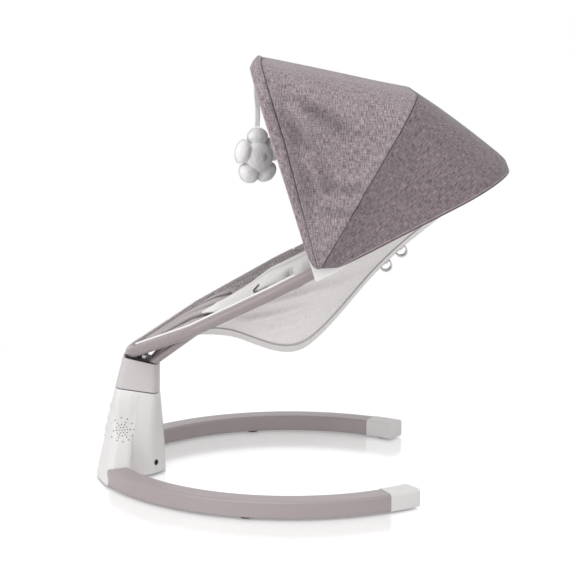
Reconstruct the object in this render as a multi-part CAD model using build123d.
from build123d import *
import math
import os

# Electric baby swing, millimetres. +X runs from the column to the head end, +Z up, floor at Z = 0.

# Floor stand
FLOOR_GAP = 4.0
ARM_CENTRE_X = -22.0
ARM_RADIUS = 360.0
STAND_HALF_WIDTH = 300.0
ARM_WIDTH = 40.0
ARM_HEIGHT = 30.0
ARM_TOP_EDGE = 4.5
ARM_FOOT_EDGE = 3.0
ARM_WALL = 2.0
ARM_END_ANGLE = 36.0
ARM_ROOT_ANGLE = 59.6
CAP_LENGTH = 57.0
CAP_SKIN = 1.2
CAP_END_WALL = 4.0
SPIGOT_WIDTH = 20.0
SPIGOT_HEIGHT = 16.0
SPIGOT_ANGLE = 4.0
PLUG_ANGLE = 2.5
ARM_BOLT_RADIUS = 2.5
FOOT_RADIUS = 11.0
ARM_FOOT_ANGLE = -12.0

# Column housing: corners of its left half from front to rear, measured from the axis, with their rounding
AXIS_X = -303.0
SEAM_Z = 158.0
AXIS_TILT = 8.3
COLUMN_WALL = 3.0
COLUMN_TOP_WALL = 5.0
COLUMN_FRONT = 77.0
COLUMN_REAR = 49.5
SEAM_REACH = 40.5
COLUMN_FLOOR = [
    (-COLUMN_FRONT, 42.0, 170.0),
    (-46.0, 119.0, 12.0),
    (-8.0, 98.0, 10.0),
    (-2.0, 50.0, 22.0),
    (27.0, 42.5, 20.0),
    (COLUMN_REAR, 13.0, 26.0),
]
COLUMN_KNEE = [
    (-69.5, 40.0, 150.0),
    (-45.0, 111.0, 12.0),
    (-9.0, 92.0, 10.0),
    (-1.0, 48.5, 22.0),
    (28.0, 41.5, 20.0),
    (48.5, 13.0, 26.0),
]
COLUMN_WAIST = [
    (-59.0, 24.0, 80.0),
    (-43.0, 62.0, 14.0),
    (-12.0, 53.0, 30.0),
    (2.0, 43.5, 40.0),
    (29.0, 38.5, 18.0),
    (46.0, 13.0, 24.0),
]
COLUMN_NECK = [
    (-50.5, 18.0, 60.0),
    (-40.0, 46.5, 13.0),
    (-12.0, 43.0, 60.0),
    (5.0, 39.5, 80.0),
    (33.0, 36.0, 15.0),
    (43.5, 13.0, 30.0),
]
SEAM = [
    (-SEAM_REACH, 13.0, 40.0),
    (-36.5, 33.5, 12.0),
    (-12.0, 34.0, 200.0),
    (8.0, 34.0, 200.0),
    (36.5, 33.5, 12.0),
    (SEAM_REACH, 13.0, 40.0),
]
HEAD_TOP_RING = [
    (-34.0, 12.0, 40.0),
    (-31.0, 29.5, 11.0),
    (-10.0, 30.0, 200.0),
    (8.0, 30.0, 200.0),
    (31.0, 29.5, 11.0),
    (34.0, 12.0, 40.0),
]
KNEE_HEIGHT = 36.0
WAIST_HEIGHT = 80.0
NECK_HEIGHT = 118.0
PLATE_THICK = 3.0
FIT_GAP = 0.3
SCREW_RADIUS = 1.6
SCREW_HEAD_RADIUS = 3.2
SCREW_HEAD = 2.0
SCREW_LENGTH = 16.0
BOSS_RADIUS = 5.0
BOSS_HEIGHT = 30.0
BOSS_SIDE = (16.0, 38.5)

# Swing drive, along the tilted axis
SPINDLE_RADIUS = 10.0
RUN_CLEARANCE = 0.05
SPINDLE_FLANGE_RADIUS = 26.0
SPINDLE_FLANGE = 5.0
SPINDLE_HOLE = 13.0
BUSH_RADIUS = 13.0
BUSH_LENGTH = 14.0
BLOCK_RADIUS = 19.0
BLOCK_LENGTH = 48.0
BLOCK_FLANGE_RADIUS = 28.0
BLOCK_FLANGE = 5.0
GEAR_MODULE = 1.0
SECTOR_TEETH = 48
PINION_TEETH = 18
PRESSURE_ANGLE = 20.0
BACKLASH = 0.3
GEAR_WIDTH = 8.0
GEAR_GAP = 4.0
SECTOR_HUB_RADIUS = 17.0
SECTOR_HALF_ANGLE = 36.0
PINION_DIRECTION = 119.0
PINION_SHAFT_RADIUS = 3.0
PINION_SHAFT = 14.0
MOTOR_RADIUS = 13.0
MOTOR_LENGTH = 62.0
MOTOR_GAP = 3.0
MOTOR_EDGE = 2.0
CRADLE_WALL = 3.0
CRADLE_HEIGHT = 34.0

# Electrics
BOARD_SIZE = (34.0, 56.0, 1.6)
BOARD_CENTRE = (-337.0, -46.0)
BOARD_STANDOFF = 9.0
SPEAKER_POINT = (-328.0, -52.0, 91.0)
SPEAKER_RADIUS = 17.0
SPEAKER_DEPTH = 14.0
SPEAKER_SETBACK = 12.0
GRILLE_HOLE = 1.1
GRILLE_DEPTH = 10.0
GRILLE_RINGS = [(0.0, 1), (5.4, 6), (10.4, 12), (15.4, 6), (21.8, 12)]
SOCKET_POINT = (-268.0, -32.5, 24.0)
SOCKET_TURN = -37.0
SOCKET_RADIUS = 5.5
SOCKET_DEPTH = 14.0
SOCKET_BORE = 2.8
SOCKET_PIN = 1.0
PANEL_Z = 104.0
PANEL_WIDTH = 34.0
PANEL_HEIGHT = 74.0
PANEL_THICK = 7.0
PANEL_PROUD = 0.8
PANEL_CORNER = 8.0
BUTTON_RADIUS = 7.0
BUTTON_PITCH = 21.0
BUTTON_PROUD = 1.4
BUTTON_TRAVEL = 1.2
BUTTON_FLANGE = 1.4
BUTTON_GAP = 0.25

# Swinging head and saddle
SEAM_GAP = 2.0
HEAD_HEIGHT = 56.0
HEAD_TOP_TILT = 4.5
HEAD_WALL = 3.0
TOP_PLATE = 3.0
SADDLE_THICK = 4.0
SADDLE_INSET = 6.0
SADDLE_BOLT_RADIUS = 3.0
SADDLE_BOLT_HEAD = 6.0
SADDLE_BOLT_X = 4.0
SADDLE_BOLT_Y = 13.0
STRUT_RADIUS = 7.0
STRUT_FOOT_X = 19.0
STRUT_FOOT_Y = 19.0
STRUT_TOP_S = -214.0

# Seat frame, in a plane that rises towards the head end
SEAT_PITCH = 27.5
SEAT_Z = 390.0
TUBE_RADIUS = 10.0
TUBE_WALL = 1.5
APEX_S = -375.0
APEX_RADIUS = 35.0
KNEE_S = -228.0
KNEE_HALF = 119.0
KNEE_RADIUS = 90.0
SHOULDER_S = -62.0
SHOULDER_RADIUS = 150.0
SEAT_HALF = 155.0
REAR_S = 392.0
REAR_HALF = 150.0
REAR_RADIUS = 104.0

# Hubs and canopy bows
HUB_S = 49.0
HUB_LENGTH = 64.0
HUB_WIDTH = 28.0
HUB_FORM = [
    (17.0, -15.0, 5.0),
    (30.0, 54.0, 12.0),
    (62.0, 54.0, 14.0),
    (81.0, 20.0, 16.0),
    (81.0, -15.0, 12.0),
]
HUB_EDGE = 2.4
HUB_STOP = 14.0
PIVOT_S = 56.0
PIVOT_RISE = 17.0
PIN_RADIUS = 4.0
PIN_HEAD_RADIUS = 7.0
PIN_HEAD = 2.5
BOW_THICK = 4.0
BOW_WIDTH = 12.0
BOW_EYE = 9.0
BOW_CORNER = 76.0
FRONT_BOW_ANGLE = 111.0
FRONT_BOW_LENGTH = 345.0
MID_BOW_ANGLE = 60.3
MID_BOW_LENGTH = 310.0

# Canopy cloth
CLOTH = 2.0
CLOTH_GAP = 2.0
HEM_HALF_WIDTH = 11.0
CLOTH_START = 14.0
BROW_RISE = 12.0
HEM_DROP = 20.0
CLOTH_REAR_GAP = 3.0

# Sling bucket: bottom line at the middle, from foot to head
SLING_LINE = [
    (-192.0, 263.0),
    (-157.0, 264.0),
    (-127.0, 261.0),
    (-79.0, 245.0),
    (-49.0, 236.0),
    (-22.0, 233.5),
    (2.0, 240.0),
    (29.0, 261.0),
    (53.0, 286.0),
    (76.0, 313.0),
    (121.0, 367.0),
    (174.0, 420.0),
    (223.0, 461.0),
    (290.0, 515.0),
    (322.0, 540.0),
]
SLING_WALL = 2.5
SLING_FLOOR_SHARE = 0.3
SLING_SEAM_SHARE = 0.72
SLING_CROWN = 24.0
SLING_CROWN_SHARE = 0.55
SLING_FLOOR_RADIUS = 80.0
SLING_SEAM_RADIUS = 24.0
RAIL_CLEARANCE = 5.0
SOFT_GAP = 1.0

# Padded liner and insert
LINER_FOOT_X = -288.0
LINER_FOOT_SAG = 9.0
LINER_HEAD_X = 312.0
LINER_THICK = 14.0
LINER_CHANNEL = 8.0
LINER_EDGE = 6.0
LINER_INSET = 20.0
LINER_FOOT_INSET = 6.0
LINER_RISE = 0.95
LINER_FOOT_RISE = 1.1
LINER_FOOT_THICK = 8.0
LINER_FOOT_CHANNEL = 5.0
FOOT_PLEATS = 6
FOOT_PLEATS_END = -120.0
BODY_CHANNELS = 7
INSERT_START = -64.0
INSERT_END = 286.0
INSERT_HALF = 68.0
INSERT_THICK = 18.0
INSERT_EDGE = 6.0
INSERT_PILLOWS = 4
INSERT_END_WIDTH = 0.72
INSERT_END_DEPTH = 0.5
INSERT_SEAM_WIDTH = 0.94
INSERT_SEAM_DEPTH = 0.75
BOLSTER_SHARE = 0.6
BOLSTER_ROWS = [
    (-88.0, 3.0, 20.0),
    (-80.0, 7.0, 15.0),
    (-62.0, 11.0, 9.0),
    (-36.0, 14.0, 4.0),
    (0.0, 16.0, 3.0),
    (60.0, 16.0, 3.0),
    (120.0, 15.0, 3.0),
    (160.0, 12.0, 4.0),
    (176.0, 5.0, 6.0),
]

# Harness
STRAP_THICK = 2.0
STRAP_WIDTH = 24.0
SHOULDER_Y = 40.0
SHOULDER_TOP_X = 178.0
BUCKLE_X = -18.0
BUCKLE_LENGTH = 46.0
BUCKLE_WIDTH = 54.0
BUCKLE_THICK = 14.0
RELEASE_RADIUS = 9.0
RELEASE_TRAVEL = 3.0
RELEASE_PROUD = 1.5
WAIST_END_Y = 80.0
CROTCH_START_X = -96.0
LOOP_X = (150.0, 177.0)
LOOP_RADIUS = 11.0

# Hanging toy: a plush flower on a ribbon
TOY_DROP = 166.0
TOY_TURN = 40.0
TOY_PETALS = 5
PETAL_TIP = 53.0
PETAL_START = 15.0
PETAL_HALF_WIDTH = 24.0
PETAL_HALF_DEPTH = 17.0
TOY_CENTRE_RADIUS = 18.0
TOY_CENTRE_DEPTH = 22.0
RIBBON_WIDTH = 9.0
RIBBON_THICK = 1.5
PETAL_GAP = 0.4

ON_FLOOR = (Align.CENTER, Align.CENTER, Align.MIN)
ABOVE = (Align.CENTER, Align.MIN)
SIDES = {"right": -1, "left": 1}
PITCH_COS = math.cos(math.radians(SEAT_PITCH))
PITCH_SIN = math.sin(math.radians(SEAT_PITCH))

AXIS = Plane((AXIS_X, 0, SEAM_Z)).rotated((0, AXIS_TILT, 0))
HEAD_TOP = AXIS.offset(HEAD_HEIGHT).rotated((0, HEAD_TOP_TILT, 0))
SEAT = Plane((0, 0, SEAT_Z)).rotated((0, -SEAT_PITCH, 0))
PIVOT = SEAT.from_local_coords(Vector(PIVOT_S, 0, PIVOT_RISE))


def write(shape, node):
    """Write one node's STEP file."""
    export_step(Compound(children=list(shape.solids())), f"parts/{node}.step")


def rod(start, end, radius):
    """Round bar between two points."""
    first = Vector(*start)
    along = Vector(*end) - first
    return Plane(first, z_dir=along) * Cylinder(radius, along.length, align=ON_FLOOR)


def disc(plane, low, high, radius):
    """Round slice of a plane's normal axis."""
    return plane.offset(low) * Cylinder(radius, high - low, align=ON_FLOOR)


def mirror_y(shape):
    """The same piece on the other side of the swing."""
    return mirror(shape, Plane.XZ)


# Column housing: one loft through four outlines, the highest in the tilted seam plane


def inset(corners, skin):
    """Corner points of a closed outline, moved in by skin."""
    count = len(corners)
    moved = []
    for place, (x, y) in enumerate(corners):
        before = Vector(x, y) - Vector(*corners[place - 1])
        after = Vector(*corners[(place + 1) % count]) - Vector(x, y)
        first = Vector(before.Y, -before.X).normalized()
        second = Vector(after.Y, -after.X).normalized()
        step = (first + second) * (skin / (1 + first.dot(second)))
        moved.append((x + step.X, y + step.Y))
    return moved


def turns_in(corners, place):
    """True where the outline is hollow at a corner."""
    here = Vector(*corners[place])
    before = here - Vector(*corners[place - 1])
    after = Vector(*corners[(place + 1) % len(corners)]) - here
    return before.X * after.Y > before.Y * after.X


def outline(half, skin=0.0):
    """Rounded outline of a left half and its mirror image, drawn in by skin."""
    whole = half + [(x, -y, radius) for x, y, radius in reversed(half)]
    corners = [(x, y) for x, y, radius in whole]
    radii = [
        radius + skin if turns_in(corners, place) else radius - skin
        for place, (x, y, radius) in enumerate(whole)
    ]
    return make_face(FilletPolyline(*inset(corners, skin), radius=radii, close=True))


def column_solid(skin, high):
    """Column form, drawn in by skin, from its lower edge to a distance along the axis."""
    levels = [
        (FLOOR_GAP, COLUMN_FLOOR),
        (KNEE_HEIGHT, COLUMN_KNEE),
        (WAIST_HEIGHT, COLUMN_WAIST),
        (NECK_HEIGHT, COLUMN_NECK),
    ]
    faces = [Plane((AXIS_X, 0, level)) * outline(half, skin) for level, half in levels]
    return loft([*faces, AXIS.offset(high) * outline(SEAM, skin)])


def arm_centre(side):
    """Centre of an arm's arc on the floor."""
    return (ARM_CENTRE_X, side * (STAND_HALF_WIDTH - ARM_WIDTH / 2 - ARM_RADIUS))


def arm_point(angle, side, radius=ARM_RADIUS):
    """Floor point on an arm's arc, angle counted from its widest point to its end."""
    turn = math.radians(angle)
    centre = arm_centre(side)
    return (centre[0] + radius * math.sin(turn), centre[1] + side * radius * math.cos(turn))


def bar(width, height, lift, top_edge, foot_edge, start, end):
    """Right-hand curved bar of a rounded section between two angles of the arm's arc."""
    spot = arm_point(start, -1)
    turn = math.radians(start)
    plane = Plane(
        (spot[0], spot[1], FLOOR_GAP + lift),
        x_dir=(math.sin(turn), -math.cos(turn), 0),
        z_dir=(-math.cos(turn), -math.sin(turn), 0),
    )
    face = Rectangle(width, height, align=ABOVE)
    rows = face.vertices().group_by(Axis.Y)
    face = fillet(rows[-1], top_edge)
    face = fillet(face.vertices().group_by(Axis.Y)[0], foot_edge)
    centre = arm_centre(-1)
    axis = Axis((centre[0], centre[1], 0), (0, 0, 1))
    return revolve(plane * face, axis, end - start)


def skinned_bar(skin, start, end):
    """Arm section grown by skin all round."""
    return bar(
        ARM_WIDTH + 2 * skin,
        ARM_HEIGHT + 2 * skin,
        -skin,
        ARM_TOP_EDGE + skin,
        ARM_FOOT_EDGE + skin,
        start,
        end,
    )


def spigot(gap):
    """Arm's root tongue inside the column, grown by gap."""
    lift = (ARM_HEIGHT - SPIGOT_HEIGHT) / 2
    return bar(
        SPIGOT_WIDTH + 2 * gap,
        SPIGOT_HEIGHT + 2 * gap,
        lift - gap,
        ARM_FOOT_EDGE,
        ARM_FOOT_EDGE,
        -ARM_ROOT_ANGLE - SPIGOT_ANGLE,
        -ARM_ROOT_ANGLE + PLUG_ANGLE,
    )


column_outer = column_solid(0, 0)
column_inner = column_solid(COLUMN_WALL, -COLUMN_TOP_WALL)
cap_angle = math.degrees(CAP_LENGTH / ARM_RADIUS)
wall_angle = math.degrees(CAP_END_WALL / ARM_RADIUS)

# Floor arms, caps and feet
arm_form = skinned_bar(0, -ARM_ROOT_ANGLE, ARM_END_ANGLE - wall_angle)
arm_bore = skinned_bar(-ARM_WALL, -ARM_ROOT_ANGLE + 2 * PLUG_ANGLE, ARM_END_ANGLE)
bolt_angle = -ARM_ROOT_ANGLE - SPIGOT_ANGLE / 2
bolt_spot = arm_point(bolt_angle, -1)
plate_top = FLOOR_GAP + PLATE_THICK
bolt_reach = FLOOR_GAP + (ARM_HEIGHT + SPIGOT_HEIGHT) / 2
arm_bolt = rod((*bolt_spot, FLOOR_GAP), (*bolt_spot, bolt_reach), ARM_BOLT_RADIUS)
arm_bolt += rod((*bolt_spot, FLOOR_GAP - SCREW_HEAD), (*bolt_spot, FLOOR_GAP), 2 * ARM_BOLT_RADIUS)
right_arm = arm_form - arm_bore - column_outer + spigot(0) - arm_bolt
cap_form = skinned_bar(CAP_SKIN, ARM_END_ANGLE - cap_angle, ARM_END_ANGLE)
right_cap = cap_form - skinned_bar(0, ARM_END_ANGLE - cap_angle, ARM_END_ANGLE - wall_angle)
arm_feet = Part()
for angle, rest in ((ARM_FOOT_ANGLE, FLOOR_GAP), (ARM_END_ANGLE - cap_angle / 2, FLOOR_GAP - CAP_SKIN)):
    spot = arm_point(angle, -1)
    arm_feet += rod((*spot, 0), (*spot, rest), FOOT_RADIUS)
arm_feet += mirror_y(arm_feet)

# Base plate with board standoffs, its screws, and the feet under the column
boss_inset = COLUMN_WALL + 0.8 * BOSS_RADIUS
boss_spots = [
    (AXIS_X - COLUMN_FRONT + boss_inset, 0),
    (AXIS_X + BOSS_SIDE[0], BOSS_SIDE[1]),
    (AXIS_X + BOSS_SIDE[0], -BOSS_SIDE[1]),
    (AXIS_X + COLUMN_REAR - boss_inset, 0),
]
foot_spots = [(AXIS_X - 50, 56), (AXIS_X - 50, -56), (AXIS_X + 20, 0)]
base_plate = column_inner & (Pos(AXIS_X, 0, FLOOR_GAP) * Box(400, 400, PLATE_THICK, align=ON_FLOOR))
for x in (-1, 1):
    for y in (-1, 1):
        spot = (
            BOARD_CENTRE[0] + x * (BOARD_SIZE[0] / 2 - 4),
            BOARD_CENTRE[1] + y * (BOARD_SIZE[1] / 2 - 4),
        )
        base_plate += rod((*spot, plate_top), (*spot, plate_top + BOARD_STANDOFF), 3)
bosses = Part()
base_screws = Part()
for spot in boss_spots:
    bosses += rod((*spot, plate_top), (*spot, plate_top + BOSS_HEIGHT), BOSS_RADIUS)
    base_screws += rod((*spot, FLOOR_GAP), (*spot, FLOOR_GAP + SCREW_LENGTH), SCREW_RADIUS)
    base_screws += rod((*spot, FLOOR_GAP - SCREW_HEAD), (*spot, FLOOR_GAP), SCREW_HEAD_RADIUS)
column_feet = Part()
for spot in foot_spots:
    column_feet += rod((*spot, 0), (*spot, FLOOR_GAP), FOOT_RADIUS)
arm_bolts = arm_bolt + mirror_y(arm_bolt)
base_plate = base_plate - base_screws - arm_bolts

# Speaker behind its grille
side_face = column_outer.faces().sort_by_distance(SPEAKER_POINT)[0]
side_normal = side_face.normal_at(Vector(*SPEAKER_POINT))
speaker_plane = Plane(Vector(*SPEAKER_POINT), x_dir=side_normal.cross(Vector(0, 0, 1)), z_dir=side_normal)
grille = Part()
for reach, count in GRILLE_RINGS:
    for step in range(count):
        turn = 2 * math.pi * step / count
        spot = (reach * math.cos(turn), reach * math.sin(turn))
        grille += disc(Plane(speaker_plane * Pos(*spot)), -GRILLE_DEPTH, GRILLE_DEPTH, GRILLE_HOLE)
speaker_front = -SPEAKER_SETBACK
speaker = disc(speaker_plane, speaker_front - 3, speaker_front, SPEAKER_RADIUS)
speaker += disc(speaker_plane, speaker_front - SPEAKER_DEPTH, speaker_front - 3, 0.6 * SPEAKER_RADIUS)
cone = speaker_plane.offset(speaker_front - 2) * Cone(4, SPEAKER_RADIUS - 3, 2, align=ON_FLOOR)
speaker = speaker - cone
speaker_ring = disc(speaker_plane, speaker_front - 3, 8, SPEAKER_RADIUS + 2.5)
speaker_ring = speaker_ring - disc(speaker_plane, speaker_front - 4, 9, SPEAKER_RADIUS)
speaker_ring = speaker_ring & column_outer

# Supply socket
socket_turn = math.radians(SOCKET_TURN)
socket_normal = (math.cos(socket_turn), math.sin(socket_turn), 0)
socket_plane = Plane(SOCKET_POINT, z_dir=socket_normal)
socket_hole = disc(socket_plane, -SOCKET_DEPTH - 2, 8, SOCKET_RADIUS + FIT_GAP / 3)
dc_socket = disc(socket_plane, -SOCKET_DEPTH, 0, SOCKET_RADIUS)
dc_socket += disc(socket_plane, -SOCKET_DEPTH, -5, SOCKET_RADIUS + 2)
dc_socket = dc_socket - disc(socket_plane, -SOCKET_DEPTH + 3, 1, SOCKET_BORE)
dc_socket += disc(socket_plane, -SOCKET_DEPTH + 3, -1.5, SOCKET_PIN)

# Control panel, its board and the push buttons on the column's front
front_low = AXIS_X - COLUMN_FRONT
seam_edge = AXIS.from_local_coords(Vector(-SEAM_REACH, 0, 0))
front_slope = (seam_edge.X - front_low) / (seam_edge.Z - FLOOR_GAP)
panel_spot = (front_low + (PANEL_Z - FLOOR_GAP) * front_slope, 0, PANEL_Z)
panel_plane = Plane(panel_spot, x_dir=(0, -1, 0), z_dir=(-1, 0, front_slope))


def panel_slab(width, height, low, high):
    """Slab of the panel's outline between two depths."""
    face = RectangleRounded(width, height, PANEL_CORNER)
    return extrude(panel_plane.offset(low) * face, high - low)


panel_back = PANEL_PROUD - PANEL_THICK
board_front = panel_back - BUTTON_FLANGE - BUTTON_TRAVEL - BUTTON_GAP
control_panel = panel_slab(PANEL_WIDTH, PANEL_HEIGHT, panel_back, PANEL_PROUD)
panel_hole = panel_slab(PANEL_WIDTH + FIT_GAP, PANEL_HEIGHT + FIT_GAP, -16, 6)
buttons = {}
for place, name in enumerate(("power_button", "speed_button", "music_button")):
    spot = panel_plane * Pos(0, BUTTON_PITCH * (1 - place))
    key = disc(Plane(spot), panel_back - BUTTON_FLANGE, PANEL_PROUD + BUTTON_PROUD, BUTTON_RADIUS)
    key = fillet(key.edges().sort_by(Axis(panel_spot, (-1, 0, front_slope)))[-1], 0.8)
    key += disc(Plane(spot), panel_back - BUTTON_FLANGE, panel_back - RUN_CLEARANCE, BUTTON_RADIUS + 1.3)
    buttons[name] = key
    hole = disc(Plane(spot), panel_back - 1, PANEL_PROUD + 1, BUTTON_RADIUS + BUTTON_GAP)
    control_panel = control_panel - hole
button_board = panel_slab(PANEL_WIDTH - 6, PANEL_HEIGHT - 4, board_front - 1.6, board_front)
for end in (-1, 1):
    post = Plane(panel_plane * Pos(0, end * (PANEL_HEIGHT / 2 - 5)))
    control_panel += disc(post, board_front, panel_back, 2.5)

# Column shell
column_shell = column_outer - column_inner + (bosses & column_outer) + speaker_ring
column_shell = column_shell - disc(AXIS, -COLUMN_TOP_WALL - 1, 1, SPINDLE_HOLE)
spigot_hole = spigot(FIT_GAP)
column_shell = column_shell - spigot_hole - mirror_y(spigot_hole)
column_shell = column_shell - grille - socket_hole - panel_hole - base_screws

# Swing drive
block_top = -COLUMN_TOP_WALL
block_low = block_top - BLOCK_LENGTH
bearing_block = disc(AXIS, block_low, block_top, BLOCK_RADIUS)
bearing_block += disc(AXIS, block_top - BLOCK_FLANGE, block_top, BLOCK_FLANGE_RADIUS)
bearing_block = bearing_block - disc(AXIS, block_low - 1, block_top + 1, SPINDLE_RADIUS + 1.5)
bush_rows = {"upper_bushing": block_top - BUSH_LENGTH, "lower_bushing": block_low}
bushings = {}
for name, low in bush_rows.items():
    seat = disc(AXIS, low, low + BUSH_LENGTH, BUSH_RADIUS)
    bearing_block = bearing_block - seat
    bushings[name] = seat - disc(AXIS, low - 1, low + BUSH_LENGTH + 1, SPINDLE_RADIUS + RUN_CLEARANCE)
gear_top = block_low - GEAR_GAP
gear_low = gear_top - GEAR_WIDTH
flange_low = SEAM_GAP + 6
spindle = disc(AXIS, gear_low, flange_low, SPINDLE_RADIUS)
spindle += disc(AXIS, flange_low, flange_low + SPINDLE_FLANGE, SPINDLE_FLANGE_RADIUS)


def involute(radius, base):
    """Involute function at a radius."""
    angle = math.acos(min(1, base / radius))
    return math.tan(angle) - angle


def gear_face(teeth):
    """Spur gear outline with one tooth centred on the X axis."""
    pitch = GEAR_MODULE * teeth / 2
    base = pitch * math.cos(math.radians(PRESSURE_ANGLE))
    root = pitch - 1.25 * GEAR_MODULE
    tip = pitch + GEAR_MODULE
    half = math.pi / (2 * teeth) - BACKLASH / (4 * pitch) + involute(pitch, base)
    start = max(base, root)
    flank = [start, (start + pitch) / 2, pitch, (pitch + tip) / 2, tip]
    rows = [(root, half)] + [(radius, half - involute(radius, base)) for radius in flank]
    points = []
    for tooth in range(teeth):
        middle = 2 * math.pi * tooth / teeth
        rise = [(radius, middle - angle) for radius, angle in rows]
        fall = [(radius, middle + angle) for radius, angle in reversed(rows)]
        points += [(r * math.cos(a), r * math.sin(a)) for r, a in rise + fall]
    return make_face(Polyline(*points, close=True))


centre_distance = GEAR_MODULE * (SECTOR_TEETH + PINION_TEETH) / 2
toward = math.radians(PINION_DIRECTION)
sector_turn = Rot(0, 0, PINION_DIRECTION)
reach = GEAR_MODULE * SECTOR_TEETH
half_sweep = math.radians(SECTOR_HALF_ANGLE)
wedge_corner = (reach * math.cos(half_sweep), reach * math.sin(half_sweep))
wedge = make_face(Polyline((0, 0), (wedge_corner[0], -wedge_corner[1]), wedge_corner, close=True))
sector_face = (gear_face(SECTOR_TEETH) & wedge) + Circle(SECTOR_HUB_RADIUS) - Circle(SPINDLE_RADIUS)
sector_gear = extrude(AXIS.offset(gear_low) * sector_turn * sector_face, GEAR_WIDTH)
pinion_spot = (centre_distance * math.cos(toward), centre_distance * math.sin(toward))
PINION = Plane(AXIS * Pos(*pinion_spot))
pinion_turn = Rot(0, 0, PINION_DIRECTION + 180 + 180 / PINION_TEETH)
drive_pinion = extrude(PINION.offset(gear_low) * pinion_turn * gear_face(PINION_TEETH), GEAR_WIDTH)
drive_pinion += disc(PINION, gear_low - PINION_SHAFT, gear_low, PINION_SHAFT_RADIUS)
motor_top = gear_low - MOTOR_GAP
motor_low = motor_top - MOTOR_LENGTH
gear_motor = disc(PINION, motor_low, motor_top, MOTOR_RADIUS)
gear_motor = fillet(gear_motor.edges().group_by(Axis(PINION.origin, PINION.z_dir))[0], MOTOR_EDGE)
shaft_low = gear_low - PINION_SHAFT - RUN_CLEARANCE
gear_motor = gear_motor - disc(PINION, shaft_low, motor_top + 1, PINION_SHAFT_RADIUS + RUN_CLEARANCE)
motor_cradle = disc(PINION, motor_low - CRADLE_HEIGHT, motor_low + CRADLE_HEIGHT, MOTOR_RADIUS + CRADLE_WALL)
motor_cradle = motor_cradle - disc(PINION, motor_low, motor_top, MOTOR_RADIUS)
motor_cradle = motor_cradle & (Pos(AXIS_X, 0, plate_top) * Box(400, 400, 200, align=ON_FLOOR))
motor_cradle = motor_cradle & column_inner

# Control board with its parts
board_z = plate_top + BOARD_STANDOFF
control_board = Pos(*BOARD_CENTRE, board_z) * Box(*BOARD_SIZE, align=ON_FLOOR)
board_top = board_z + BOARD_SIZE[2]
for x, y, length, width, height in ((-6, 14, 12, 12, 2), (6, -10, 10, 16, 3), (-9, -16, 8, 10, 9)):
    chip = Pos(BOARD_CENTRE[0] + x, BOARD_CENTRE[1] + y, board_top)
    control_board += chip * Box(length, width, height, align=ON_FLOOR)
for y in (0, 8):
    control_board += Pos(BOARD_CENTRE[0] + 10, BOARD_CENTRE[1] + y, board_top) * Cylinder(3, 11, align=ON_FLOOR)

# Seat frame tubes
front_points = [
    (HUB_S - HUB_STOP / 2, SEAT_HALF),
    (SHOULDER_S, SEAT_HALF),
    (KNEE_S, KNEE_HALF),
    (APEX_S, 0),
    (KNEE_S, -KNEE_HALF),
    (SHOULDER_S, -SEAT_HALF),
    (HUB_S - HUB_STOP / 2, -SEAT_HALF),
]
front_radii = [SHOULDER_RADIUS, KNEE_RADIUS, APEX_RADIUS, KNEE_RADIUS, SHOULDER_RADIUS]
rear_points = [
    (HUB_S + HUB_STOP / 2, SEAT_HALF),
    (HUB_S + HUB_LENGTH / 2, SEAT_HALF),
    (REAR_S, REAR_HALF),
    (REAR_S, -REAR_HALF),
    (HUB_S + HUB_LENGTH / 2, -SEAT_HALF),
    (HUB_S + HUB_STOP / 2, -SEAT_HALF),
]
rear_bend = HUB_LENGTH / 3
rear_radii = [rear_bend, REAR_RADIUS, REAR_RADIUS, rear_bend]


def tube(points, radii, outer, inner=0):
    """Round tube along straight runs and tangent arcs in the seat plane."""
    path = SEAT * FilletPolyline(*points, radius=radii)
    ring = Circle(outer)
    if inner:
        ring = ring - Circle(inner)
    return sweep(Plane(path @ 0, z_dir=path % 0) * ring, path=path)


tube_bore = TUBE_RADIUS - TUBE_WALL
front_tube = tube(front_points, front_radii, TUBE_RADIUS, tube_bore)
rear_tube = tube(rear_points, rear_radii, TUBE_RADIUS, tube_bore)
front_envelope = tube(front_points, front_radii, TUBE_RADIUS)
rear_envelope = tube(rear_points, rear_radii, TUBE_RADIUS)
groove = tube(front_points[2:5], [APEX_RADIUS], TUBE_RADIUS + FIT_GAP)


def rail_half(x):
    """Half width of the frame's centre line at X."""
    s = x / PITCH_COS
    if s < KNEE_S:
        return KNEE_HALF * (s - APEX_S) / (KNEE_S - APEX_S)
    if s < SHOULDER_S:
        return KNEE_HALF + (SEAT_HALF - KNEE_HALF) * (s - KNEE_S) / (SHOULDER_S - KNEE_S)
    bend = REAR_S - REAR_RADIUS
    if s < bend:
        return SEAT_HALF + (REAR_HALF - SEAT_HALF) * max(0, s) / REAR_S
    return REAR_HALF - REAR_RADIUS + math.sqrt(max(0, REAR_RADIUS**2 - (s - bend) ** 2))


def rail_z(x):
    """Height of the frame's centre plane at X."""
    return SEAT_Z + x * PITCH_SIN / PITCH_COS


# Swinging head, top plate, saddle and struts


def head_solid(skin):
    """Head form drawn in by skin, from the seam to its top."""
    return loft([AXIS.offset(SEAM_GAP) * outline(SEAM, skin), HEAD_TOP * outline(HEAD_TOP_RING, skin)], ruled=True)


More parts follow.
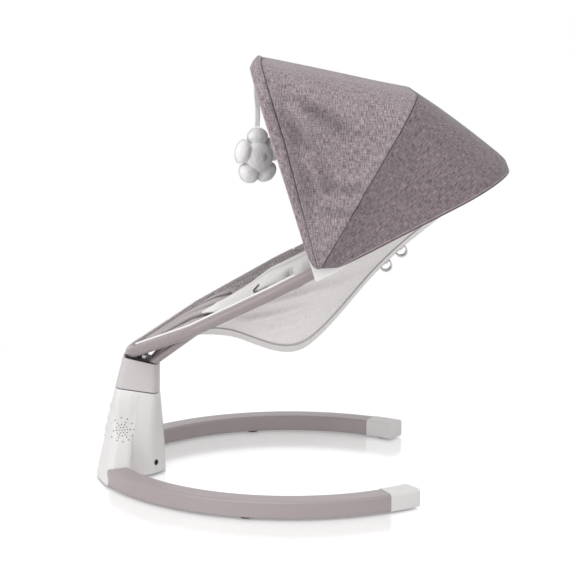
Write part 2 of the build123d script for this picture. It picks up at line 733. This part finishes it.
head_outer = head_solid(0)
head_inner = head_solid(HEAD_WALL)
web_low = flange_low + SPINDLE_FLANGE
web = head_inner & disc(AXIS, web_low, web_low + HEAD_WALL, 2 * SEAM_REACH)
top_rim = HEAD_TOP.offset(-TOP_PLATE - HEAD_WALL)
top_ledge = head_inner & extrude(top_rim * outline(HEAD_TOP_RING), HEAD_WALL)
top_ledge = top_ledge - extrude(top_rim * outline(HEAD_TOP_RING, 3 * HEAD_WALL), HEAD_WALL)
plate_form = extrude(HEAD_TOP.offset(-TOP_PLATE) * outline(HEAD_TOP_RING, HEAD_WALL), TOP_PLATE)
saddle = extrude(HEAD_TOP * outline(HEAD_TOP_RING, SADDLE_INSET), SADDLE_THICK)
saddle_bolts = Part()
for y in (-SADDLE_BOLT_Y, SADDLE_BOLT_Y):
    spot = Plane(HEAD_TOP * Pos(SADDLE_BOLT_X, y))
    saddle_bolts += disc(spot, -TOP_PLATE - 8, SADDLE_THICK, SADDLE_BOLT_RADIUS)
    head = extrude(spot.offset(SADDLE_THICK) * RegularPolygon(2 * SADDLE_BOLT_RADIUS, 6), SADDLE_BOLT_HEAD)
    saddle_bolts += head
head_shell = head_outer - head_inner + web + top_ledge - groove - saddle_bolts
top_plate = plate_form - groove - saddle_bolts
saddle_bracket = saddle - groove - saddle_bolts


def rail_point(s, share=0.0):
    """Point on the right rail between knee and shoulder, share of a radius below it."""
    part = (s - KNEE_S) / (SHOULDER_S - KNEE_S)
    half = KNEE_HALF + (SEAT_HALF - KNEE_HALF) * part
    return SEAT.from_local_coords(Vector(s, -half, -share * TUBE_RADIUS))


strut_foot = HEAD_TOP.from_local_coords(Vector(STRUT_FOOT_X, -STRUT_FOOT_Y, SADDLE_THICK - STRUT_RADIUS))
strut_top = rail_point(STRUT_TOP_S, 0.3)
saddle_block = extrude(HEAD_TOP.offset(-200 + SADDLE_THICK) * Rectangle(200, 200), 200)
right_strut = rod(tuple(strut_foot), tuple(strut_top), STRUT_RADIUS) - saddle_block - front_envelope
right_strut = right_strut.solids().sort_by(SortBy.VOLUME)[-1]

# Hubs and their pivot pins


def hub(side):
    """Plastic housing that joins the two tubes and carries a bow pivot."""
    corners = [(along, rise) for along, rise, radius in HUB_FORM]
    form = make_face(FilletPolyline(*corners, radius=[row[2] for row in HUB_FORM], close=True))
    side_view = Plane((0, side * SEAT_HALF, 0), x_dir=(1, 0, 0), z_dir=(0, -1, 0))
    block = extrude(side_view * form, HUB_WIDTH / 2, both=True)
    block = fillet(block.edges().group_by(Axis.Y)[0], HUB_EDGE)
    block = fillet(block.edges().group_by(Axis.Y)[-1], HUB_EDGE)
    block = SEAT * block - front_envelope - rear_envelope
    return block - pin(side)


def pin(side):
    """Headed pin through a hub, along Y."""
    inner = SEAT_HALF - HUB_WIDTH / 2
    start = (PIVOT.X, side * inner, PIVOT.Z)
    shank = rod(start, (PIVOT.X, side * pin_end, PIVOT.Z), PIN_RADIUS)
    head_end = (PIVOT.X, side * (pin_end + PIN_HEAD), PIVOT.Z)
    return shank + rod((PIVOT.X, side * pin_end, PIVOT.Z), head_end, PIN_HEAD_RADIUS)


hub_face = SEAT_HALF + HUB_WIDTH / 2
front_eye = hub_face + FIT_GAP
mid_eye = front_eye + BOW_THICK + FIT_GAP
pin_end = mid_eye + BOW_THICK + FIT_GAP
pivot_pins = pin(-1) + pin(1)


def bow_plane(angle, shift=0.0):
    """Plane of a bow: x along Y, y outward from the pivot, shifted towards the head end."""
    turn = math.radians(angle)
    plane = Plane(PIVOT, x_dir=(0, 1, 0), z_dir=(math.sin(turn), 0, -math.cos(turn)))
    return plane.offset(shift)


def arch(half, start, length, radius, thick):
    """Face of an arch of even thickness, from start to length above the pivot."""
    outer = FilletPolyline((half, start), (half, length), (-half, length), (-half, start), radius=radius)
    low = half - thick
    high = length - thick
    inner = FilletPolyline((low, start), (low, high), (-low, high), (-low, start), radius=radius - thick)
    ends = [Line((half, start), (low, start)), Line((-half, start), (-low, start))]
    return make_face([*outer.edges(), *inner.edges(), *ends])


def bow(angle, length, eye):
    """Flat strip bow with an eye round each pivot pin."""
    strip = arch(eye + BOW_THICK, 0, length, BOW_CORNER, BOW_THICK)
    shape = extrude(bow_plane(angle) * strip, BOW_WIDTH / 2, both=True)
    for side in (-1, 1):
        ends = [(PIVOT.X, side * y, PIVOT.Z) for y in (eye, eye + BOW_THICK)]
        shape += rod(*ends, BOW_EYE)
        hole = [(PIVOT.X, side * y, PIVOT.Z) for y in (eye - 1, eye + BOW_THICK + 1)]
        shape = shape - rod(*hole, PIN_RADIUS + RUN_CLEARANCE)
    return shape


front_bow = bow(FRONT_BOW_ANGLE, FRONT_BOW_LENGTH, front_eye)
mid_bow = bow(MID_BOW_ANGLE, MID_BOW_LENGTH, mid_eye)

# Canopy cloth: front hem over the front bow, front panel, rear panel down to a hem below the frame
cloth_half = pin_end + PIN_HEAD + CLOTH_GAP + CLOTH
cloth_corner = BOW_CORNER + CLOTH_GAP + CLOTH
front_reach = FRONT_BOW_LENGTH + CLOTH_GAP + CLOTH
mid_reach = MID_BOW_LENGTH + CLOTH_GAP + CLOTH
front_arch = arch(cloth_half, CLOTH_START, front_reach, cloth_corner, CLOTH)
mid_arch = arch(cloth_half, CLOTH_START, mid_reach, cloth_corner, CLOTH)
front_hem = extrude(bow_plane(FRONT_BOW_ANGLE) * front_arch, HEM_HALF_WIDTH, both=True)
seam_gap = FIT_GAP / 2
front_panel = loft(
    [
        bow_plane(FRONT_BOW_ANGLE, HEM_HALF_WIDTH + seam_gap) * front_arch,
        bow_plane(MID_BOW_ANGLE, -seam_gap) * mid_arch,
    ],
    ruled=True,
)


def frame_arch(rise, extra):
    """Cloth arch round the rear tube at a height above the seat plane."""
    turn = Plane(
        SEAT.from_local_coords(Vector(PIVOT_S, 0, rise)), x_dir=(0, 1, 0), z_dir=(PITCH_SIN, 0, -PITCH_COS)
    )
    length = REAR_S + TUBE_RADIUS + CLOTH_REAR_GAP + CLOTH + extra - PIVOT_S
    radius = REAR_RADIUS + TUBE_RADIUS
    return turn * arch(cloth_half, CLOTH_START, length, radius, CLOTH)


rear_panel = loft(
    [
        bow_plane(MID_BOW_ANGLE, seam_gap) * mid_arch,
        frame_arch(BROW_RISE, 0),
        frame_arch(-HEM_DROP, CLOTH),
    ],
    ruled=True,
)

# Sling bucket


def sling_z(x):
    """Height of the sling's bottom line at X."""
    for (x0, z0), (x1, z1) in zip(SLING_LINE, SLING_LINE[1:]):
        if x <= x1:
            return z0 + (z1 - z0) * (x - x0) / (x1 - x0)
    return SLING_LINE[-1][1]


def rim_half(x):
    """Half width of the soft goods at the rail's height."""
    return rail_half(x) - TUBE_RADIUS - RAIL_CLEARANCE


def across(x):
    """Plane across the seat at X, with Y and Z as its axes."""
    return Plane((x, 0, 0), x_dir=(0, 1, 0), z_dir=(1, 0, 0))


def tub_line(x, skin):
    """Line across the sling at X, from rim to rim, drawn in by skin."""
    rim = rim_half(x)
    low = sling_z(x)
    top = rail_z(x)
    crown = min(SLING_CROWN, SLING_CROWN_SHARE * (top - low))
    seam = SLING_SEAM_SHARE * rim
    half = [(rim, top), (seam, low + crown), (SLING_FLOOR_SHARE * rim, low)]
    seam_in, floor_in = inset(half + [(-y, z) for y, z in reversed(half)], skin)[1:3]
    climb = (top - seam_in[1]) / (top - low - crown)
    drawn = [(seam_in[0] + climb * (rim - seam), top), seam_in, floor_in]
    radii = [SLING_SEAM_RADIUS - skin, SLING_FLOOR_RADIUS - skin]
    return FilletPolyline(*drawn, *[(-y, z) for y, z in reversed(drawn)], radius=radii + radii[::-1])


def tub_face(x):
    """Cross section of the sling: crowned floor, rounded seams and leaning walls."""
    rows = [tub_line(x, skin) for skin in (0, SLING_WALL)]
    ends = [Line(rows[0] @ share, rows[1] @ share) for share in (0, 1)]
    return across(x) * make_face([*rows[0].edges(), *rows[1].edges(), *ends])


seat_sling = loft([tub_face(x) for x, z in SLING_LINE], ruled=True)

# Padded liner with pleats at the foot and sewn channels, and the insert on it


def along_foot(x, foot, seat):
    """Value that goes from the liner's foot end to the sling's front."""
    start_x = SLING_LINE[0][0]
    share = min(1, max(0, (x - LINER_FOOT_X) / (start_x - LINER_FOOT_X)))
    return foot + (seat - foot) * share


def liner_base(x):
    """Height of the liner's underside at X."""
    start_x, start_z = SLING_LINE[0]
    if x < start_x:
        start_sag = rail_z(start_x) - start_z - SLING_WALL - SOFT_GAP
        return rail_z(x) - along_foot(x, LINER_FOOT_SAG, start_sag)
    return sling_z(x) + SLING_WALL + SOFT_GAP


def liner_half(x):
    """Half width of the liner at X."""
    return rim_half(x) - along_foot(x, LINER_FOOT_INSET, LINER_INSET)


def liner_rise(x):
    """How far the liner's edges stand above its middle at X."""
    return along_foot(x, LINER_FOOT_RISE, LINER_RISE) * (rail_z(x) - liner_base(x))


def liner_thick(x, crest):
    """Thickness of the liner at X, on a crest or at a seam."""
    if crest:
        return along_foot(x, LINER_FOOT_THICK, LINER_THICK)
    return along_foot(x, LINER_FOOT_CHANNEL, LINER_CHANNEL)


def pad_edge(half, rise, edge):
    """Half width and rise of a pad's upper edge, square to its underside."""
    lean = 2 * math.atan2(rise, half)
    return half - edge * math.sin(lean), rise + edge * math.cos(lean)


def pad_face(x, half, base, rise, edge, thick):
    """Cross section of a pad: dished underside, hollow top and thin edges."""
    top_half, top_rise = pad_edge(half, rise, edge)
    bottom = ThreePointArc((-half, base + rise), (0, base), (half, base + rise))
    top = ThreePointArc((top_half, base + top_rise), (0, base + thick), (-top_half, base + top_rise))
    sides = [
        Line((half, base + rise), (top_half, base + top_rise)),
        Line((-top_half, base + top_rise), (-half, base + rise)),
    ]
    return across(x) * make_face([bottom, sides[0], top, sides[1]])


def pillows(start, end, count):
    """Stations from seam to seam: each pillow has a seam and two crest stations."""
    step = (end - start) / count
    stations = []
    for place in range(count):
        stations += [(start + step * (place + part), part) for part in (0, 0.3, 0.7)]
    return stations


liner_stations = pillows(LINER_FOOT_X, FOOT_PLEATS_END, FOOT_PLEATS)
liner_stations += pillows(FOOT_PLEATS_END, LINER_HEAD_X, BODY_CHANNELS)
liner_stations.append((LINER_HEAD_X, 0))
liner_faces = []
for x, part in liner_stations:
    thick = liner_thick(x, part)
    liner_faces.append(pad_face(x, liner_half(x), liner_base(x), liner_rise(x), LINER_EDGE, thick))
seat_liner = loft(liner_faces, ruled=True)


def bowl_radius(x):
    """Radius of the liner's upper face at X."""
    half, rise = pad_edge(liner_half(x), liner_rise(x), LINER_EDGE)
    sag = rise - LINER_THICK
    return (half**2 + sag**2) / (2 * sag)


def bowl_rise(x, y):
    """Rise of the liner's top above its middle at distance y."""
    return bowl_radius(x) - math.sqrt(bowl_radius(x) ** 2 - y**2)


def insert_base(x):
    """Height of the insert's underside at X."""
    return liner_base(x) + LINER_THICK + SOFT_GAP


def insert_top(x):
    """Height of the insert's crown at X."""
    return insert_base(x) + INSERT_THICK


insert_stations = pillows(INSERT_START, INSERT_END, INSERT_PILLOWS) + [(INSERT_END, 0)]
insert_faces = []
for place, (x, part) in enumerate(insert_stations):
    ended = place in (0, len(insert_stations) - 1)
    half = INSERT_HALF * (INSERT_END_WIDTH if ended else 1.0 if part else INSERT_SEAM_WIDTH)
    thick = INSERT_THICK * (INSERT_END_DEPTH if ended else 1.0 if part else INSERT_SEAM_DEPTH)
    insert_faces.append(pad_face(x, half, insert_base(x), bowl_rise(x, half), INSERT_EDGE, thick))
infant_insert = loft(insert_faces, ruled=True)


def bolster_face(x, half, gap):
    """Oval section of a side bolster on the liner's wall, a gap below its edge."""
    radius = bowl_radius(x)
    edge_half, edge_rise = pad_edge(liner_half(x), liner_rise(x), LINER_EDGE)
    edge_lean = 2 * math.atan2(edge_rise - LINER_THICK, edge_half)
    lean = edge_lean - (half + gap) / radius
    depth = BOLSTER_SHARE * half
    reach = radius - SOFT_GAP - depth
    middle = (-reach * math.sin(lean), liner_base(x) + LINER_THICK + radius - reach * math.cos(lean))
    return across(x) * Pos(*middle) * Rot(0, 0, -math.degrees(lean)) * Ellipse(half, depth)


right_bolster = loft([bolster_face(*row) for row in BOLSTER_ROWS], ruled=True)
infant_insert = Compound([infant_insert.solid(), right_bolster.solid(), mirror_y(right_bolster).solid()])

# Harness webbing, buckle and release button


def webbing(plane, points, width, middle=0.0):
    """Flat strap of a side line, extruded to its width about a middle."""
    upper = [(a, b + STRAP_THICK) for a, b in reversed(points)]
    face = make_face(Polyline(*points, *upper, close=True))
    return extrude(plane.offset(middle) * face, width / 2, both=True)


def insert_rise(x, y):
    """Rise of the insert's top above its middle at distance y."""
    sag = bowl_rise(x, INSERT_HALF) + INSERT_EDGE - INSERT_THICK
    return max(0, sag) * (y / INSERT_HALF) ** 2


def lift_over(x, y=STRAP_WIDTH / 2):
    """Height where a strap that reaches out to y runs over the insert at X."""
    return insert_top(x) + insert_rise(x, y) + SOFT_GAP


buckle_z = lift_over(BUCKLE_X) + STRAP_THICK
buckle_slope = math.degrees(math.atan2(lift_over(BUCKLE_X + 20) - lift_over(BUCKLE_X - 20), 40))
BUCKLE = Plane((BUCKLE_X, 0, buckle_z + 4)).rotated((0, -buckle_slope, 0))
buckle_form = Box(BUCKLE_LENGTH, BUCKLE_WIDTH, BUCKLE_THICK, align=ON_FLOOR)
buckle_form = fillet(buckle_form.edges().filter_by(Axis.Z), 14)
buckle_form = fillet(buckle_form.edges().group_by(Axis.Z)[-1], 3)
release_hole = Pos(0, 0, BUCKLE_THICK - 6) * Cylinder(RELEASE_RADIUS + BUTTON_GAP, 20, align=ON_FLOOR)
harness_buckle = BUCKLE * (buckle_form - release_hole)
release_low = BUCKLE_THICK - 6 + RELEASE_TRAVEL + BUTTON_GAP
buckle_button = disc(BUCKLE, release_low, BUCKLE_THICK + RELEASE_PROUD, RELEASE_RADIUS)
SIDE_VIEW = Plane.XZ
strap_start = BUCKLE_X + BUCKLE_LENGTH / 2 + 2
strap_xs = [strap_start + (SHOULDER_TOP_X - strap_start) * part / 4 for part in range(5)]
strap_line = [(x, lift_over(x, SHOULDER_Y + STRAP_WIDTH / 2)) for x in strap_xs]
shoulder_straps = {
    "right_shoulder_strap": webbing(SIDE_VIEW, strap_line, STRAP_WIDTH, SHOULDER_Y),
    "left_shoulder_strap": webbing(SIDE_VIEW, strap_line, STRAP_WIDTH, -SHOULDER_Y),
}
crotch_line = [(x, lift_over(x)) for x in (INSERT_START, BUCKLE_X - BUCKLE_LENGTH / 2 - 2)]
crotch_line.insert(0, (CROTCH_START_X, liner_base(CROTCH_START_X) + LINER_THICK + SOFT_GAP))
crotch_strap = webbing(SIDE_VIEW, crotch_line, STRAP_WIDTH)
waist_x = BUCKLE_X + STRAP_WIDTH / 2
waist_rows = [BUCKLE_WIDTH / 2 + 2, INSERT_HALF, WAIST_END_Y]
waist_line = [(-y, lift_over(waist_x, y)) for y in waist_rows]
right_waist = webbing(across(BUCKLE_X), waist_line, STRAP_WIDTH)
harness_loops = Part()
for x in LOOP_X:
    outer = Cylinder(LOOP_RADIUS, STRAP_WIDTH, rotation=(90, 0, 0))
    inner = Cylinder(LOOP_RADIUS - STRAP_THICK, STRAP_WIDTH + 2, rotation=(90, 0, 0))
    for y in (-SHOULDER_Y, SHOULDER_Y):
        harness_loops += Pos(x, y, sling_z(x) - 2) * (outer - inner)
sling_block = [across(x) * Pos(0, z) * Rectangle(300, 200, align=ABOVE) for x, z in SLING_LINE]
harness_loops = harness_loops - loft(sling_block, ruled=True)

# Hanging toy
bow_middle = FRONT_BOW_LENGTH - BOW_THICK / 2
TOY_HINGE = bow_plane(FRONT_BOW_ANGLE).from_local_coords(Vector(0, bow_middle, 0))
toy_turn = math.radians(TOY_TURN)
TOY = Plane(
    (TOY_HINGE.X, 0, TOY_HINGE.Z - TOY_DROP),
    x_dir=(math.cos(toy_turn), math.sin(toy_turn), 0),
    z_dir=(math.sin(toy_turn), -math.cos(toy_turn), 0),
)


def oval(half_x, half_y):
    """Oval face of four arcs."""
    share = math.sqrt(0.5)
    corners = [(half_x, 0), (0, half_y), (-half_x, 0), (0, -half_y)]
    turns = [(1, 1), (-1, 1), (-1, -1), (1, -1)]
    arcs = []
    for place, (turn_x, turn_y) in enumerate(turns):
        middle = (turn_x * half_x * share, turn_y * half_y * share)
        arcs.append(ThreePointArc(corners[place], middle, corners[(place + 1) % 4]))
    return make_face(arcs)


def swelling(sections, plane):
    """Loft of ovals along a plane's normal: rows of height and two half sizes."""
    return loft([plane.offset(height) * oval(a, b) for height, a, b in sections])


centre_rows = [(-1.0, 0.45), (-0.8, 0.8), (-0.4, 1.0), (0.0, 1.0), (0.4, 1.0), (0.8, 0.8), (1.0, 0.45)]
toy_centre = swelling(
    [(TOY_CENTRE_DEPTH * part, TOY_CENTRE_RADIUS * size, TOY_CENTRE_RADIUS * size) for part, size in centre_rows],
    TOY,
)
petal_span = PETAL_TIP - PETAL_START
petal_rows = [(0.0, 0.5), (0.3, 0.86), (0.6, 1.0), (0.85, 0.74), (1.0, 0.3)]
half_wedge = math.pi / TOY_PETALS
petals = {}
for place in range(TOY_PETALS):
    angle = 90 + 360 * place / TOY_PETALS
    PETAL = Plane(TOY * Rot(0, 0, angle) * Rot(0, 90, 0))
    rows = [
        (PETAL_START + petal_span * part, PETAL_HALF_DEPTH * size, PETAL_HALF_WIDTH * size)
        for part, size in petal_rows
    ]
    petal = swelling(rows, PETAL)
    far = 2 * PETAL_TIP
    corner_x = PETAL_GAP / math.sin(half_wedge)
    wedge_rows = [
        (corner_x, 0),
        (far * math.cos(half_wedge) + corner_x, -far * math.sin(half_wedge)),
        (far * math.cos(half_wedge) + corner_x, far * math.sin(half_wedge)),
    ]
    slice_form = make_face(Polyline(*wedge_rows, close=True))
    slice_form = extrude(TOY * Rot(0, 0, angle) * slice_form, 2 * PETAL_HALF_DEPTH, both=True)
    core = disc(TOY, -2 * TOY_CENTRE_DEPTH, 2 * TOY_CENTRE_DEPTH, 1.03 * TOY_CENTRE_RADIUS + PETAL_GAP)
    petals[f"toy_petal_{place + 1}"] = (petal & slice_form) - core
ribbon_low = TOY_HINGE.Z - TOY_DROP + PETAL_TIP + PETAL_GAP
ribbon_high = TOY_HINGE.Z - BOW_WIDTH / 2 - 2
ribbon_form = Box(RIBBON_WIDTH, RIBBON_THICK, ribbon_high - ribbon_low, align=ON_FLOOR)
toy_ribbon = Pos(TOY_HINGE.X, 0, ribbon_low) * ribbon_form

os.makedirs("parts", exist_ok=True)
NODES = {
    "column_shell": column_shell,
    "base_plate": base_plate,
    "base_screws": base_screws,
    "column_feet": column_feet,
    "right_arm": right_arm,
    "left_arm": mirror_y(right_arm),
    "right_arm_cap": right_cap,
    "left_arm_cap": mirror_y(right_cap),
    "arm_feet": arm_feet,
    "arm_bolts": arm_bolts,
    "bearing_block": bearing_block,
    "gear_motor": gear_motor,
    "motor_cradle": motor_cradle,
    "control_board": control_board,
    "speaker": speaker,
    "dc_socket": dc_socket,
    "control_panel": control_panel,
    "button_board": button_board,
    "drive_pinion": drive_pinion,
    "spindle": spindle,
    "sector_gear": sector_gear,
    "head_shell": head_shell,
    "head_top_plate": top_plate,
    "saddle_bracket": saddle_bracket,
    "saddle_bolts": saddle_bolts,
    "front_frame_tube": front_tube,
    "rear_frame_tube": rear_tube,
    "right_strut": right_strut,
    "left_strut": mirror_y(right_strut),
    "right_hub": hub(-1),
    "left_hub": hub(1),
    "hub_pivot_pins": pivot_pins,
    "canopy_front_bow": front_bow,
    "canopy_mid_bow": mid_bow,
    "canopy_front_hem": front_hem,
    "canopy_front_panel": front_panel,
    "canopy_rear_panel": rear_panel,
    "seat_sling": seat_sling,
    "seat_liner": seat_liner,
    "infant_insert": infant_insert,
    "crotch_strap": crotch_strap,
    "right_waist_strap": right_waist,
    "left_waist_strap": mirror_y(right_waist),
    "harness_buckle": harness_buckle,
    "buckle_button": buckle_button,
    "harness_back_loops": harness_loops,
    "toy_ribbon": toy_ribbon,
    "toy_centre": toy_centre,
}
for group in (bushings, buttons, shoulder_straps, petals):
    NODES.update(group)
for node, shape in NODES.items():
    write(shape, node)
